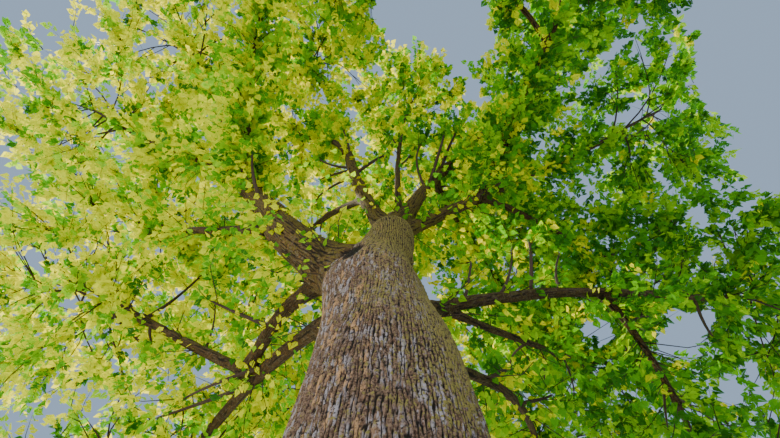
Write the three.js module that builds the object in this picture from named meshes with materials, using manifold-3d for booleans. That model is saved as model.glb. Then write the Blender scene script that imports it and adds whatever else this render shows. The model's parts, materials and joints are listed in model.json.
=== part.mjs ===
// A veteran broad-crowned linden tree, rooted in the ground: a leaning trunk with a root flare, tapering
// boughs that fork from it, and masses of foliage, each grown by one rule from the tip of its bough.
// Millimetres and degrees. +Z is up, +X is to the right of the side that is seen first, and the origin is
// the middle of the flat cut at ground level. Azimuths turn from +X towards +Y.
import * as THREE from "three";
import { mergeVertices } from "three/addons/utils/BufferGeometryUtils.js";
import Module from "manifold-3d";

const wasm = await Module();
wasm.setup();

// The trunk
const FORK_HEIGHT = 7700; // where it ends in its upper fork
const TRUNK_LEAN = -100; // how far it has leaned over, halfway up
const FORK_OFFSET = -100; // where the fork is, beside the foot
const FORK_RADIUS = 340;
const TRUNK_TAPER = 540; // what its radius gains from the fork down to the foot, without the flare
const TAPER_POWER = 0.92;
const FLARE = 300; // what the root flare adds at the ground
const FLARE_HEIGHT = 520; // height over which the flare fades
const ROOT_LOBES = 7; // buttress roots round the foot
const LOBE_DEPTH = 0.42; // how deep the folds between them are, as a share of the flare
const SHOULDER = 170; // swelling under the great left bough
const SHOULDER_AZIMUTH = 176;
const SHOULDER_HEIGHT = 5350;
const SHOULDER_SPREAD = 1000;
const WAIST = 170; // what its radius loses above that bough, below its own fork
const WAIST_HEIGHT = 5900;
const WAIST_SPREAD = 800;
const TRUNK_SIDES = 24;
const TRUNK_RINGS = 15;

// The boughs. Each one leaves its parent on the parent's own centreline. A row holds:
// the parent, and how far along the parent the bough leaves it,
// the azimuth and rise on which it sets off,
// the azimuth, reach and height of its tip, seen from the foot of the tree, in metres,
// its radii at base and tip,
// and the radius of the foliage that it bears, in metres, if it bears any.
const BOUGHS = {
  left_great: ["trunk", 0.66, [170, 45], [189.5, 4.4, 11.9], [340, 175]],
  left_middle: ["trunk", 0.69, [185, 35], [137, 3.05, 6.2], [125, 95]],
  left_low: ["trunk", 0.59, [144, 55], [131.5, 4.4, 6.25], [140, 88], 3.2],
  right_lowest: ["trunk", 0.52, [30, 33], [54, 4.2, 6.4], [66, 52], 3.1],
  right_low: ["trunk", 0.58, [16, 52], [13.5, 3.55, 6.9], [88, 72]],
  back_right: ["trunk", 0.72, [62, 40], [80, 5.0, 9.0], [160, 88], 3.5],
  back_left: ["trunk", 0.77, [112, 42], [110, 5.2, 9.6], [170, 92], 3.5],
  upper_right: ["trunk", 0.88, [0, 52], [1, 2.7, 10.7], [118, 98]],
  upper_left: ["trunk", 0.89, [167, 74], [194, 1.3, 11.3], [165, 115]],
  upper_main: ["trunk", 0.89, [5, 78], [357, 1.15, 11.2], [172, 112]],

  left_knee: ["left_middle", 1, [172, 33], [154, 5.4, 7.9], [92, 72], 3.3],
  left_bent: ["left_great", 0.34, [168, 18], [166, 5.0, 9.6], [88, 55], 3.1],
  left_outer: ["left_great", 0.7, [182, 20], [184, 6.9, 11.9], [100, 60], 3.3],
  left_crest: ["left_great", 1, [204, 46], [196, 6.3, 14.4], [135, 75], 3.4],
  left_top: ["left_great", 0.85, [226, 66], [208, 4.0, 14.8], [100, 60], 3.0],
  front_left: ["left_great", 0.6, [256, 36], [238, 5.0, 10.4], [90, 58], 3.4],
  right_slender: ["right_low", 0.2, [35, 24], [38.5, 4.35, 7.75], [52, 44], 2.9],
  right_outer: ["right_low", 1, [10, 20], [14, 6.1, 8.0], [66, 52], 3.3],
  right_hanging: ["right_low", 0.93, [40, -15], [24.5, 4.3, 5.6], [62, 46], 2.3],
  right_crest: ["upper_right", 1, [-2, 44], [354, 5.9, 13.2], [81, 60], 3.5],
  right_inner: ["upper_right", 0.6, [22, 36], [19, 4.8, 10.4], [80, 55], 3.2],
  right_middle: ["upper_right", 0.85, [34, 62], [24, 3.6, 12.4], [72, 55], 3.0],
  front_right: ["upper_right", 0.55, [312, 40], [312, 4.8, 10.8], [90, 60], 3.4],
  far_right: ["upper_main", 0.75, [58, 42], [48, 4.6, 12.6], [100, 58], 3.4],
  crest_right: ["upper_main", 0.9, [340, 58], [334, 4.3, 14.6], [92, 58], 3.1],
  front_middle: ["front_right", 0.85, [246, 34], [276, 5.0, 12.4], [62, 50], 3.3],
  top_right: ["upper_main", 1, [12, 66], [20, 2.5, 15.4], [100, 62], 3.2],
  top_back: ["upper_main", 0.25, [84, 74], [92, 2.6, 14.6], [92, 60], 3.3],
  top_crown: ["upper_main", 0.12, [244, 87], [289.5, 0.7, 16.7], [66, 50], 2.9],
  top_left: ["upper_left", 1, [192, 70], [180, 3.0, 15.2], [93, 60], 3.2],
  far_left: ["upper_left", 0.4, [143, 55], [135.5, 4.7, 12.4], [76, 56], 3.5],
};
const BOUGH_SIDES = 7;
const BOUGH_RINGS = 6;
const BOUGH_EASE = 0.45; // how long a bough keeps the bearing that it sets off on, as a share of its length
const BOUGH_SWING = 0.75; // below 1, a bough loses more of its thickness near its base than near its tip
const COLLAR = 0.28; // how much a bough swells where it leaves its parent, as a share of its base radius
const COLLAR_REACH = 0.07; // how far along it that swelling fades, as a share of its length

// The masses. A mass fills a flattened ball past the tip of its bough, less what is nearer to another mass.
const FLATNESS = 0.85; // its height beside its width
const STAND_OFF = 0.72; // how far past the bough's tip its middle is, in shares of its radius
const STEM_REACH = 1.15; // how far its stem runs
const TWIGS = 6; // twigs that leave the stem
const TWIGS_FROM = 0.3; // where the first one leaves, as a share of the stem
const TWIGS_OVER = 0.5; // how much of the stem they are spread over
const TWIG_REACH = 0.58; // where they end, between the middle and the rim
const TWIG_TRIES = [1, 0.75, 0.5]; // shares of its length that a twig is tried at
const STEM_SHARE = 0.92; // a stem's radius beside its bough's tip
const TWIG_SHARE = 0.3; // a twig's radius beside the bough's tip
const TWIG_TAPER = 0.7; // what is left of a stem's or twig's radius at its end
const TWIG_SIDES = 3;
// The leaves of a twig: where along it each one sits, and how far it goes on with the twig and to its side.
const LEAF_PLACES = [
  { along: 1, forward: 1, sideways: 0 },
  { along: 0.74, forward: 0.35, sideways: 1 },
  { along: 0.48, forward: 0.35, sideways: -1 },
];
const LEAF_SEAT = 1 / 3; // how deep the leaf at the end is set in, in shares of the twig's radius
const LEAF_LENGTH = 0.48; // in shares of the mass's radius: each leaf stands for a spray
const LEAF_WIDTH = 0.84; // as a share of its length
const LEAF_THICKNESS = 0.04; // as a share of its length, how far its sides droop below its midrib
const LEAF_BELLY = 0.4; // where along it a leaf is widest
const LEAF_DROOP = 0.55; // how far a leaf hangs, beside the way that it would go
const LEAF_TURNS = 10; // how many ways a leaf is turned before it is left out
const LEAF_SWAY = 0.5; // how far chance turns a leaf at first
const SWAY_GAIN = 0.2; // how much further it turns the leaf each time
const LEAF_LOSS = 0.05; // how much shorter the leaf is each time
const STEM_LEAVES = [0.35, 1]; // the stretch of the stem that bears leaves of its own
const ROOM = 30; // what a mass keeps clear of the next one's space

const CLEARANCE = 0.4; // between one limb and the next
const SEAT = 0.3; // between a bough's tip and the stem that grows on from it
const METRE = 1000;
const DEGREE = Math.PI / 180;
const GOLDEN_ANGLE = Math.PI * (3 - Math.sqrt(5));

const point = (x, y, z) => new THREE.Vector3(x, y, z);

// The unit vector of an azimuth and a rise above level.
function bearing(azimuth, rise) {
  const turn = azimuth * DEGREE;
  const level = Math.cos(rise * DEGREE);
  return point(level * Math.cos(turn), level * Math.sin(turn), Math.sin(rise * DEGREE));
}

// Numbers from -0.5 to 0.5 that belong to a seed, one after another.
function chances(seed) {
  let count = 0;
  return () => {
    count += 1;
    const spin = Math.sin(seed * 127.1 + count * 311.7) * 43758.5453;
    return spin - Math.floor(spin) - 0.5;
  };
}

// A closed geometry as a solid.
function solidOf(geometry) {
  geometry.deleteAttribute("normal");
  geometry.deleteAttribute("uv");
  const merged = mergeVertices(geometry, 1e-3);
  return new wasm.Manifold(
    new wasm.Mesh({
      numProp: 3,
      vertProperties: new Float32Array(merged.attributes.position.array),
      triVerts: new Uint32Array(merged.index.array),
    }),
  );
}

// The largest of a solid's separate bodies.
function largestBody(solid) {
  return solid.decompose().reduce((best, body) => (body.volume() > best.volume() ? body : best));
}

// A solid as a named mesh with flat faces.
function meshOf(name, solid, material) {
  const { vertProperties, triVerts } = solid.getMesh();
  const shared = new THREE.BufferGeometry()
    .setAttribute("position", new THREE.BufferAttribute(new Float32Array(vertProperties), 3))
    .setIndex(new THREE.BufferAttribute(new Uint32Array(triVerts), 1));
  const faceted = shared.toNonIndexed();
  faceted.computeVertexNormals();
  const mesh = new THREE.Mesh(faceted, material);
  mesh.name = name;
  return mesh;
}

// The trunk's centreline: it leans one way and comes back towards its fork.
const trunkCurve = new THREE.QuadraticBezierCurve3(
  point(0, 0, 0),
  point(2 * TRUNK_LEAN - FORK_OFFSET / 2, 0, FORK_HEIGHT / 2),
  point(FORK_OFFSET, 0, FORK_HEIGHT),
);

// The trunk's radius at a height, on an azimuth in radians: an even taper, a lobed flare at the foot,
// a shoulder under the great left bough, and a waist above it.
function trunkRadius(height, azimuth) {
  const taper = FORK_RADIUS + TRUNK_TAPER * Math.pow(1 - height / FORK_HEIGHT, TAPER_POWER);
  const lobes = 1 + LOBE_DEPTH * Math.sin(ROOT_LOBES * azimuth + Math.sin(2 * azimuth));
  const facing = Math.max(0, Math.cos(azimuth - SHOULDER_AZIMUTH * DEGREE));
  const level = (height - SHOULDER_HEIGHT) / SHOULDER_SPREAD;
  const shoulder = SHOULDER * facing * facing * Math.exp(-level * level);
  const above = (height - WAIST_HEIGHT) / WAIST_SPREAD;
  const waist = WAIST * Math.exp(-above * above);
  return taper + FLARE * Math.exp(-height / FLARE_HEIGHT) * lobes + shoulder - waist;
}

// The trunk: a closed cylinder with its rings moved onto the centreline and given their radius.
// margin widens it and raises its top.
function trunkSolid(margin) {
  const geometry = new THREE.CylinderGeometry(1, 1, 1, TRUNK_SIDES, TRUNK_RINGS);
  const vertices = geometry.attributes.position;
  for (let i = 0; i < vertices.count; i++) {
    const along = vertices.getY(i) + 0.5;
    const spread = Math.hypot(vertices.getX(i), vertices.getZ(i));
    const azimuth = Math.atan2(-vertices.getZ(i), vertices.getX(i));
    const place = trunkCurve.getPoint(along);
    place.addScaledVector(
      point(Math.cos(azimuth), Math.sin(azimuth), 0),
      spread * (trunkRadius(place.z, azimuth) + margin),
    );
    place.z += along === 1 ? margin : 0;
    vertices.setXYZ(i, place.x, place.y, place.z);
  }
  return solidOf(geometry);
}

// A bough's radius at a share of its length: a taper, and a collar at its base.
function boughRadius([base, end], along) {
  const taper = base + (end - base) * Math.pow(along, BOUGH_SWING);
  return taper + COLLAR * base * Math.exp(-along / COLLAR_REACH);
}

// A bough: a closed cylinder bent along its curve. margin widens it and lengthens its tip.
function boughSolid({ curve, radii }, margin) {
  const geometry = new THREE.CylinderGeometry(1, 1, 1, BOUGH_SIDES, BOUGH_RINGS);
  const frames = curve.computeFrenetFrames(BOUGH_RINGS, false);
  const vertices = geometry.attributes.position;
  for (let i = 0; i < vertices.count; i++) {
    const ring = Math.round((vertices.getY(i) + 0.5) * BOUGH_RINGS);
    const radius = boughRadius(radii, ring / BOUGH_RINGS) + margin;
    const place = curve
      .getPointAt(ring / BOUGH_RINGS)
      .addScaledVector(frames.normals[ring], vertices.getX(i) * radius)
      .addScaledVector(frames.binormals[ring], -vertices.getZ(i) * radius)
      .addScaledVector(frames.tangents[ring], ring === BOUGH_RINGS ? margin : 0);
    vertices.setXYZ(i, place.x, place.y, place.z);
  }
  return solidOf(geometry);
}

// The boughs of the table with their curves: each sets off on its own bearing and swings to its tip.
function growBoughs() {
  const curves = { trunk: trunkCurve };
  return Object.entries(BOUGHS).map(([name, [parent, along, sets, tip, radii, mass]]) => {
    const start = curves[parent].getPointAt(along);
    const [azimuth, reach, height] = tip;
    const end = bearing(azimuth, 0)
      .multiplyScalar(reach * METRE)
      .setZ(height * METRE);
    const hold = bearing(...sets).multiplyScalar(BOUGH_EASE * start.distanceTo(end));
    const curve = new THREE.QuadraticBezierCurve3(start, hold.add(start), end);
    curves[name] = curve;
    return { name, curve, radii, mass };
  });
}

// The space of the mass that a bough bears.
function massSpace({ name, curve, radii, mass }, place) {
  const radius = mass * METRE;
  const heading = curve.getTangentAt(1);
  const tip = curve.getPointAt(1);
  const middle = tip.clone().addScaledVector(heading, STAND_OFF * radius);
  return { name, radius, heading, tip, middle, end: radii[1], seed: place + 1 };
}

// Whether every corner of a geometry is in a mass's space: inside its rim, and nearer to its middle than
// to any other's, each weighed by its size. Such a space is convex, so a convex piece is in it as well.
function inSpace(geometry, space, spaces) {
  const weigh = (corner, other) => corner.distanceToSquared(other.middle) - other.radius * other.radius;
  const vertices = geometry.attributes.position;
  for (let i = 0; i < vertices.count; i++) {
    const corner = point(vertices.getX(i), vertices.getY(i), vertices.getZ(i));
    const fromMiddle = corner.clone().sub(space.middle);
    fromMiddle.z /= FLATNESS;
    if (fromMiddle.length() > space.radius) return false;
    for (const other of spaces) {
      if (other === space) continue;
      const apart = other.middle.distanceTo(space.middle);
      if ((weigh(corner, other) - weigh(corner, space)) / (2 * apart) < ROOM) return false;
    }
  }
  return true;
}

// A straight tapering twig with three sides.
function twigGeometry(from, to, base, end) {
  const way = to.clone().sub(from);
  const geometry = new THREE.CylinderGeometry(end, base, way.length(), TWIG_SIDES, 1);
  geometry.translate(0, way.length() / 2, 0);
  geometry.applyQuaternion(new THREE.Quaternion().setFromUnitVectors(point(0, 1, 0), way.normalize()));
  return geometry.translate(from.x, from.y, from.z);
}

// A leaf: a tetrahedron flattened to a kite, folded along its midrib, and widest near its root.
function leafGeometry(root, heading, upward, length) {
  const across = upward.clone().cross(heading).normalize();
  const out = heading.clone().cross(across).normalize();
  const frame = new THREE.Matrix4().makeBasis(heading, across, out).setPosition(root);
  const geometry = new THREE.TetrahedronGeometry(Math.sqrt(3), 0);
  const vertices = geometry.attributes.position;
  for (let i = 0; i < vertices.count; i++) {
    const alongMidrib = (vertices.getX(i) + vertices.getY(i)) / 2;
    const toSide = (vertices.getY(i) - vertices.getX(i)) / 2;
    const along = alongMidrib > 0.5 ? 1 : alongMidrib < -0.5 ? 0 : LEAF_BELLY;
    const droop = ((vertices.getZ(i) - 1) / 2) * LEAF_THICKNESS;
    vertices.setXYZ(i, along * length, (toSide * LEAF_WIDTH * length) / 2, droop * length);
  }
  return geometry.applyMatrix4(frame);
}

// The stem of a mass, from just past its bough's tip.
function stemSolid({ tip, heading, radius, end }) {
  const from = tip.clone().addScaledVector(heading, SEAT);
  const to = tip.clone().addScaledVector(heading, STEM_REACH * radius);
  return solidOf(twigGeometry(from, to, end * STEM_SHARE, end * STEM_SHARE * TWIG_TAPER));
}

// One mass of foliage: a stem, twigs that leave it for places spread evenly through the mass, and leaves
// along each twig. A twig or leaf that would leave the mass's space or touch a limb is tried again, and
// then left out.
function massSolid(space, spaces, limbs) {
  const { tip, heading, radius, middle, end, seed } = space;
  const chance = chances(seed);
  const length = LEAF_LENGTH * radius;
  const thickness = TWIG_SHARE * end;
  const alongStem = (share) => tip.clone().addScaledVector(heading, share * STEM_REACH * radius);
  let solid = stemSolid(space);

  // Fuses a piece that is in the space, is clear of the limbs and meets the mass at its root alone.
  const fuse = (geometry) => {
    if (!inSpace(geometry, space, spaces)) return false;
    const piece = solidOf(geometry);
    if (!limbs.intersect(piece).isEmpty()) return false;
    if (solid.intersect(piece).decompose().length !== 1) return false;
    solid = solid.add(piece);
    return true;
  };

  // Leaves along a stretch of stem or twig, each on its own side.
  const growLeaves = (from, to) => {
    const way = to.clone().sub(from).normalize();
    const across = way.clone().cross(point(chance(), chance(), 1)).normalize();
    for (const { along, forward, sideways } of LEAF_PLACES) {
      const seat = along === 1 ? -LEAF_SEAT * thickness : 0;
      const root = from.clone().lerp(to, along).addScaledVector(way, seat);
      for (let turn = 0; turn < LEAF_TURNS; turn++) {
        const sway = LEAF_SWAY + SWAY_GAIN * turn;
        const out = point(chance(), chance(), chance()).multiplyScalar(sway);
        out.addScaledVector(way, forward).addScaledVector(across, sideways);
        out.z -= LEAF_DROOP;
        const upward = point(chance(), chance(), 1).addScaledVector(way, 0.5);
        const size = length * (1 - LEAF_LOSS * turn);
        if (fuse(leafGeometry(root, out.normalize(), upward, size))) break;
      }
    }
  };

  for (let i = 0; i < TWIGS; i++) {
    const share = (i + 0.5) / TWIGS;
    const height = 1 - 2 * share;
    const ring = Math.sqrt(1 - height * height);
    const turn = i * GOLDEN_ANGLE + seed;
    const out = point(ring * Math.cos(turn), ring * Math.sin(turn), height * FLATNESS);
    const from = alongStem(TWIGS_FROM + TWIGS_OVER * share);
    const to = middle.clone().addScaledVector(out, TWIG_REACH * radius);
    for (const part of TWIG_TRIES) {
      const stop = from.clone().lerp(to, part);
      if (!fuse(twigGeometry(from, stop, thickness, thickness * TWIG_TAPER))) continue;
      growLeaves(from, stop);
      break;
    }
  }
  growLeaves(...STEM_LEAVES.map(alongStem));
  return largestBody(solid);
}

// A plain finish with no metal in it.
function finish(name, color, roughness) {
  return new THREE.MeshStandardMaterial({ name, color, roughness, metalness: 0 });
}

const bark = finish("bark", 0x6b5a47, 0.95);
const foliage = finish("foliage", 0x6f9a1f, 0.6);

const tree = new THREE.Group();
tree.add(meshOf("trunk", trunkSolid(0), bark));

// Each bough is cut clear of the trunk and of the boughs before it.
const boughs = growBoughs();
let limbs = trunkSolid(CLEARANCE);
for (const bough of boughs) {
  tree.add(meshOf(bough.name, largestBody(boughSolid(bough, 0).subtract(limbs)), bark));
  limbs = limbs.add(boughSolid(bough, CLEARANCE));
}

const spaces = boughs.filter(({ mass }) => mass).map(massSpace);
for (const space of spaces) {
  const others = spaces.filter((other) => other !== space);
  const inTheWay = others.reduce((all, other) => all.add(stemSolid(other)), limbs);
  tree.add(meshOf(`${space.name}_foliage`, massSolid(space, spaces, inTheWay), foliage));
}

export default tree;
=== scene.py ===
"""A veteran broad-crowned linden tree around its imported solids, seen from its foot, looking up the trunk.

Metres and degrees, in the frame of the solids: +Z up, +X to the right of the photograph's view, azimuths
from +X towards +Y. The trunk and boughs are skins with the bark's relief, and each mass of foliage is
replaced by twigs and leaves that grow on from its bough by the rule that made the solids.
"""

import json
import math

import bpy
import numpy as np
from mathutils import Matrix

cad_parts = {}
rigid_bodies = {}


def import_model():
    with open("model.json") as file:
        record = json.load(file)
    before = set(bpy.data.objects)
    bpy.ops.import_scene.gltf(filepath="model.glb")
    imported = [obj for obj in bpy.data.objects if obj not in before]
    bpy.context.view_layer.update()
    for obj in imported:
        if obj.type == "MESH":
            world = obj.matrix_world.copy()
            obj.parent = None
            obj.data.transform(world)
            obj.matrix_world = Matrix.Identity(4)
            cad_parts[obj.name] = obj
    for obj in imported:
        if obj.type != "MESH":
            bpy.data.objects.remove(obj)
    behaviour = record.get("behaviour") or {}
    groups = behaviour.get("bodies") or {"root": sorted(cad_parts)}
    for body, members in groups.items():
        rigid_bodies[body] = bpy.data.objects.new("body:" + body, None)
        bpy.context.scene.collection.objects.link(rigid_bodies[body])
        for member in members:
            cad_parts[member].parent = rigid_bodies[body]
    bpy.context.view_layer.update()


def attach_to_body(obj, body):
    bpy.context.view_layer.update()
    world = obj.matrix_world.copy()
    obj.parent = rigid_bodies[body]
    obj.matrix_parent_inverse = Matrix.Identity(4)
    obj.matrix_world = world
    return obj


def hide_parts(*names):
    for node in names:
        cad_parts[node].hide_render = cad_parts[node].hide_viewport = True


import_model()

# The trunk, as the solids have it
FORK_HEIGHT = 7.7
TRUNK_LEAN = -0.1
FORK_OFFSET = -0.1
FORK_RADIUS = 0.34
TRUNK_TAPER = 0.54
TAPER_POWER = 0.92
FLARE = 0.3
FLARE_HEIGHT = 0.52
ROOT_LOBES = 7
LOBE_DEPTH = 0.42
SHOULDER = 0.17
SHOULDER_AZIMUTH = 176
SHOULDER_HEIGHT = 5.35
SHOULDER_SPREAD = 1.0
WAIST = 0.17
WAIST_HEIGHT = 5.9
WAIST_SPREAD = 0.8

# The boughs, as the solids have them. A row holds the parent and how far along it the bough leaves,
# the azimuth and rise on which the bough sets off, the azimuth, reach and height of its tip, its radii
# at base and tip, and the radius of the foliage that it bears, if it bears any.
BOUGHS = {
    "left_great": ("trunk", 0.66, (170, 45), (189.5, 4.4, 11.9), (0.34, 0.175)),
    "left_middle": ("trunk", 0.69, (185, 35), (137, 3.05, 6.2), (0.125, 0.095)),
    "left_low": ("trunk", 0.59, (144, 55), (131.5, 4.4, 6.25), (0.14, 0.088), 3.2),
    "right_lowest": ("trunk", 0.52, (30, 33), (54, 4.2, 6.4), (0.066, 0.052), 3.1),
    "right_low": ("trunk", 0.58, (16, 52), (13.5, 3.55, 6.9), (0.088, 0.072)),
    "back_right": ("trunk", 0.72, (62, 40), (80, 5.0, 9.0), (0.16, 0.088), 3.5),
    "back_left": ("trunk", 0.77, (112, 42), (110, 5.2, 9.6), (0.17, 0.092), 3.5),
    "upper_right": ("trunk", 0.88, (0, 52), (1, 2.7, 10.7), (0.118, 0.098)),
    "upper_left": ("trunk", 0.89, (167, 74), (194, 1.3, 11.3), (0.165, 0.115)),
    "upper_main": ("trunk", 0.89, (5, 78), (357, 1.15, 11.2), (0.172, 0.112)),
    "left_knee": ("left_middle", 1, (172, 33), (154, 5.4, 7.9), (0.092, 0.072), 3.3),
    "left_bent": ("left_great", 0.34, (168, 18), (166, 5.0, 9.6), (0.088, 0.055), 3.1),
    "left_outer": ("left_great", 0.7, (182, 20), (184, 6.9, 11.9), (0.1, 0.06), 3.3),
    "left_crest": ("left_great", 1, (204, 46), (196, 6.3, 14.4), (0.135, 0.075), 3.4),
    "left_top": ("left_great", 0.85, (226, 66), (208, 4.0, 14.8), (0.1, 0.06), 3.0),
    "front_left": ("left_great", 0.6, (256, 36), (238, 5.0, 10.4), (0.09, 0.058), 3.4),
    "right_slender": ("right_low", 0.2, (35, 24), (38.5, 4.35, 7.75), (0.052, 0.044), 2.9),
    "right_outer": ("right_low", 1, (10, 20), (14, 6.1, 8.0), (0.066, 0.052), 3.3),
    "right_hanging": ("right_low", 0.93, (40, -15), (24.5, 4.3, 5.6), (0.062, 0.046), 2.3),
    "right_crest": ("upper_right", 1, (-2, 44), (354, 5.9, 13.2), (0.081, 0.06), 3.5),
    "right_inner": ("upper_right", 0.6, (22, 36), (19, 4.8, 10.4), (0.08, 0.055), 3.2),
    "right_middle": ("upper_right", 0.85, (34, 62), (24, 3.6, 12.4), (0.072, 0.055), 3.0),
    "front_right": ("upper_right", 0.55, (312, 40), (312, 4.8, 10.8), (0.09, 0.06), 3.4),
    "far_right": ("upper_main", 0.75, (58, 42), (48, 4.6, 12.6), (0.1, 0.058), 3.4),
    "crest_right": ("upper_main", 0.9, (340, 58), (334, 4.3, 14.6), (0.092, 0.058), 3.1),
    "front_middle": ("front_right", 0.85, (246, 34), (276, 5.0, 12.4), (0.062, 0.05), 3.3),
    "top_right": ("upper_main", 1, (12, 66), (20, 2.5, 15.4), (0.1, 0.062), 3.2),
    "top_back": ("upper_main", 0.25, (84, 74), (92, 2.6, 14.6), (0.092, 0.06), 3.3),
    "top_crown": ("upper_main", 0.12, (244, 87), (289.5, 0.7, 16.7), (0.066, 0.05), 2.9),
    "top_left": ("upper_left", 1, (192, 70), (180, 3.0, 15.2), (0.093, 0.06), 3.2),
    "far_left": ("upper_left", 0.4, (143, 55), (135.5, 4.7, 12.4), (0.076, 0.056), 3.5),
}
BOUGH_EASE = 0.45  # from a bough's base to its hold, in shares of its span
BOUGH_SWING = 0.75  # the power of the way along at which a bough thins
FLATNESS = 0.85  # a mass's height by its width
STAND_OFF = 0.72  # from a bough's tip to its mass's middle, in radii of the mass
STEM_REACH = 1.15  # and to the end of the mass's stem
STEM_SHARE = 0.92  # the stem's radius by the bough's

# The skins of trunk and boughs
TRUNK_SIDES = 768
RING_STEP = 0.022  # between one ring of the trunk and the next
TRUNK_PIECES = 3
SIDE_STEP = 0.02  # between one corner of a bough's ring and the next
BOUGH_STEP = 0.045  # between one ring of a bough and the next
RIDGES = 140  # bark ridges round the foot: 35 mm wide at breast height
RIDGE_RUN = 0.1  # from one crack across a ridge to the next
NUBS = 66  # coarser ridges round the upper trunk, broken into nubs
NUB_RUN = 0.075
NUBS_FROM = 3.4  # height from which the one gives way to the other
NUBS_OVER = 2.6
NUBS_EDGE = (12, 0.3, 0.3)  # waves round the trunk where they meet, their height, and how far they push
BROKEN = (0.95, 1.0)  # how much of a ridge's height the deepest cracks take, below and above
FURROW = 0.021  # how deep the trunk's furrows are at the foot
FURROW_TOP = 0.014  # and at its fork
SLIM = 0.3  # how far the trunk draws in below its waist, on the side away from the great bough
SLIM_AZIMUTH = 335
SLIM_HEIGHT = 5.15
SLIM_SPREAD = 0.62
HOLLOW = (-0.58, -0.36, 5.42)  # the hollow in the crotch of the great bough, sunk in and painted dark as shade
HOLLOW_SIZE = (0.17, 0.2, 0.3)
HOLLOW_DEPTH = 0.07
FORK_ROUND = (6.35, 7.15)  # between which heights the trunk's top rounds off between its last boughs
BLEND = 2.0  # over what gap two limbs swell into one another, in shares of the thinner one's base radius
BLEND_REACH = 1.6  # how far up and down the trunk a bough makes it swell
BLEND_ALONG = (1.8, 3)  # how far along a bough it can swell itself: metres, and its base radii more
BALLS = 60  # the balls along a bough that stand for it where a gap to it is measured
BALLS_NEAR = (0.45, 32)  # and the part of a bough near the trunk, with the balls that stand for it
WANDER = 0.3  # how far a bough strays from its curve, in shares of its radius
WANDERS = ((0.7, 1.1, 0), (0.3, 0.45, 2))  # the slow and quick part of it, their length and seed
SUNK = 0.9  # how deep in its parent a bough's skin starts, in shares of its base radius
TRUNK_LUMPS = (9, 0.7, 0.022)  # slow lumps round a limb, the length of one, and how far they swell it
BOUGH_LUMPS = (4, 4, 0.07)  # the length in base radii
BOUGH_RIDGE = 0.034  # a ridge's width on a bough
BOUGH_RUN = 0.2  # and a run's length
BOUGH_SIDES = (14, 110)  # the fewest and most sides of a bough
BOUGH_RIDGES = (7, 60)  # and of its ridges
BOUGH_BROKEN = 0.6  # how much of a ridge's height the deepest cracks take there
BOUGH_FURROW = (0.055, 0.003, 0.014)  # how deep its furrows are, in radii, with the least and the most
NEIGHBOUR = 0.09  # how near along their parent two boughs stand side by side, in shares of its length
KNOT_REACH = 2.2  # how far a knot swells along it, in radii of its tip
TIP_BULGE = 0.7  # how far its tip rounds off past its end, in the same radii
TIP_ANGLES = np.radians([30, 55, 75])  # the rings that round off a bough's tip
DAMP_AZIMUTH = -35  # the side of the trunk on which lichen grows lowest
DAMP_SIDE = (0.85, 1.4, 3)  # how much of it, the height that it starts at, and over how much it comes in
DAMP_TOP = (0.5, 4.4, 1.6)  # and what there is all round the trunk's top
DAMP_PATCHES = (2, 0.6, 0.3)  # patches to a radian, the height of one, and how much they add or take
LIMB_DAMP = (0.35, 0.45, 0.55, 0.25)  # lichen all round a limb, and more: a mossy one, above, on the right
LIMB_PAINTED_SUN = (0.1, 0.7)  # the painted sunlight all round a limb, and more on the left
PAINTED_SUN_AZIMUTH = 218  # the middle of the band of bark where sunlight is painted on as a warm colour
PAINTED_SUN_BAND = (0.72, 0.2, 0.9)  # the band of painted sunlight: the cosine at its edge, over how much it comes in, and how warm it is
SHARP_EDGE = 75  # degrees between two faces that stay an edge
OPEN = 1000  # cells of a noise that needn't come round

# The bark's pattern, in shares of a ridge's width, a run's length and a ridge's height. Each noise that
# pushes the ridges about has its cells to a ridge, runs to a cell, how far it pushes, and a seed.
RIDGE_STRAYS = ((0.25, 5, 0.7, 0), (1, 1.4, 0.38, 3), (2, 0.45, 0.2, 4))
CRACK_STAGGER = 5  # how far the cracks of one ridge are from those of the next
CRACK_STRAY = 0.5  # how much the cracks of one ridge are pushed about
CRACK_WIDTH = 0.4
LEAST_CRACK = 0.25  # how deep the shallowest crack is, where the deepest is 1
LEAST_CREST = 0.5  # how high the lowest scale is, where the highest is 1
FLANK = (0.35, 0.45)  # the width of a ridge's flank on the lowest scale, and what the highest adds
PITS = (3, 5, 0.32, 0.06)  # pits to a ridge and to a run, their depth, and how far the bark sinks

# Knots on the boughs: how far along each one is, and how much the bough swells there
KNOTS = {"left_middle": ((0.96, 0.4),), "left_knee": ((0.98, 0.45),), "right_hanging": ((1.0, 0.3),)}

# The twigs and leaves
MAIN_TWIGS = 15  # to each mass
SIDE_TWIGS = 3  # to each main twig
TWIG_REACH = 0.68  # how far from its middle a mass's main twigs end, in shares of its radius
SIDE_REACH = (0.3, 0.45)  # how long a side twig is, in the same shares
SHORTENED = (1, 0.8, 0.6, 0.4)  # the parts of its length that a twig is tried at
TWIG_RIM = 0.92  # the share of a mass's space that its twigs keep to
TWIG_TAPER = 0.35  # the radius of its end by that of its foot
TWIG_BEND = 0.1  # how far it bends, in shares of its length
STEM_BEND = 0.1  # and how far a mass's stem does, in radii of the mass
STEM_END = 0.3  # the radius of the stem's end by that of the bough's
MAIN_ALONG = (0.04, 0.86)  # where the stretch of the stem starts that bears main twigs, and its length
SIDE_ALONG = (0.35, 0.2)  # where along a main twig the first side twig leaves, and the step to the next
MAIN_THICK = (0.5, 0.2)  # a main twig's radius by its bough's, and how much less it is at the stem's end
SIDE_THICK = (0.24, 0.08)  # and a side twig's
SHOOTS = 8900  # leafy shoots in all the masses
LIMB_SHOOTS = 26  # leafy shoots that grow straight from a bough
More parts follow.
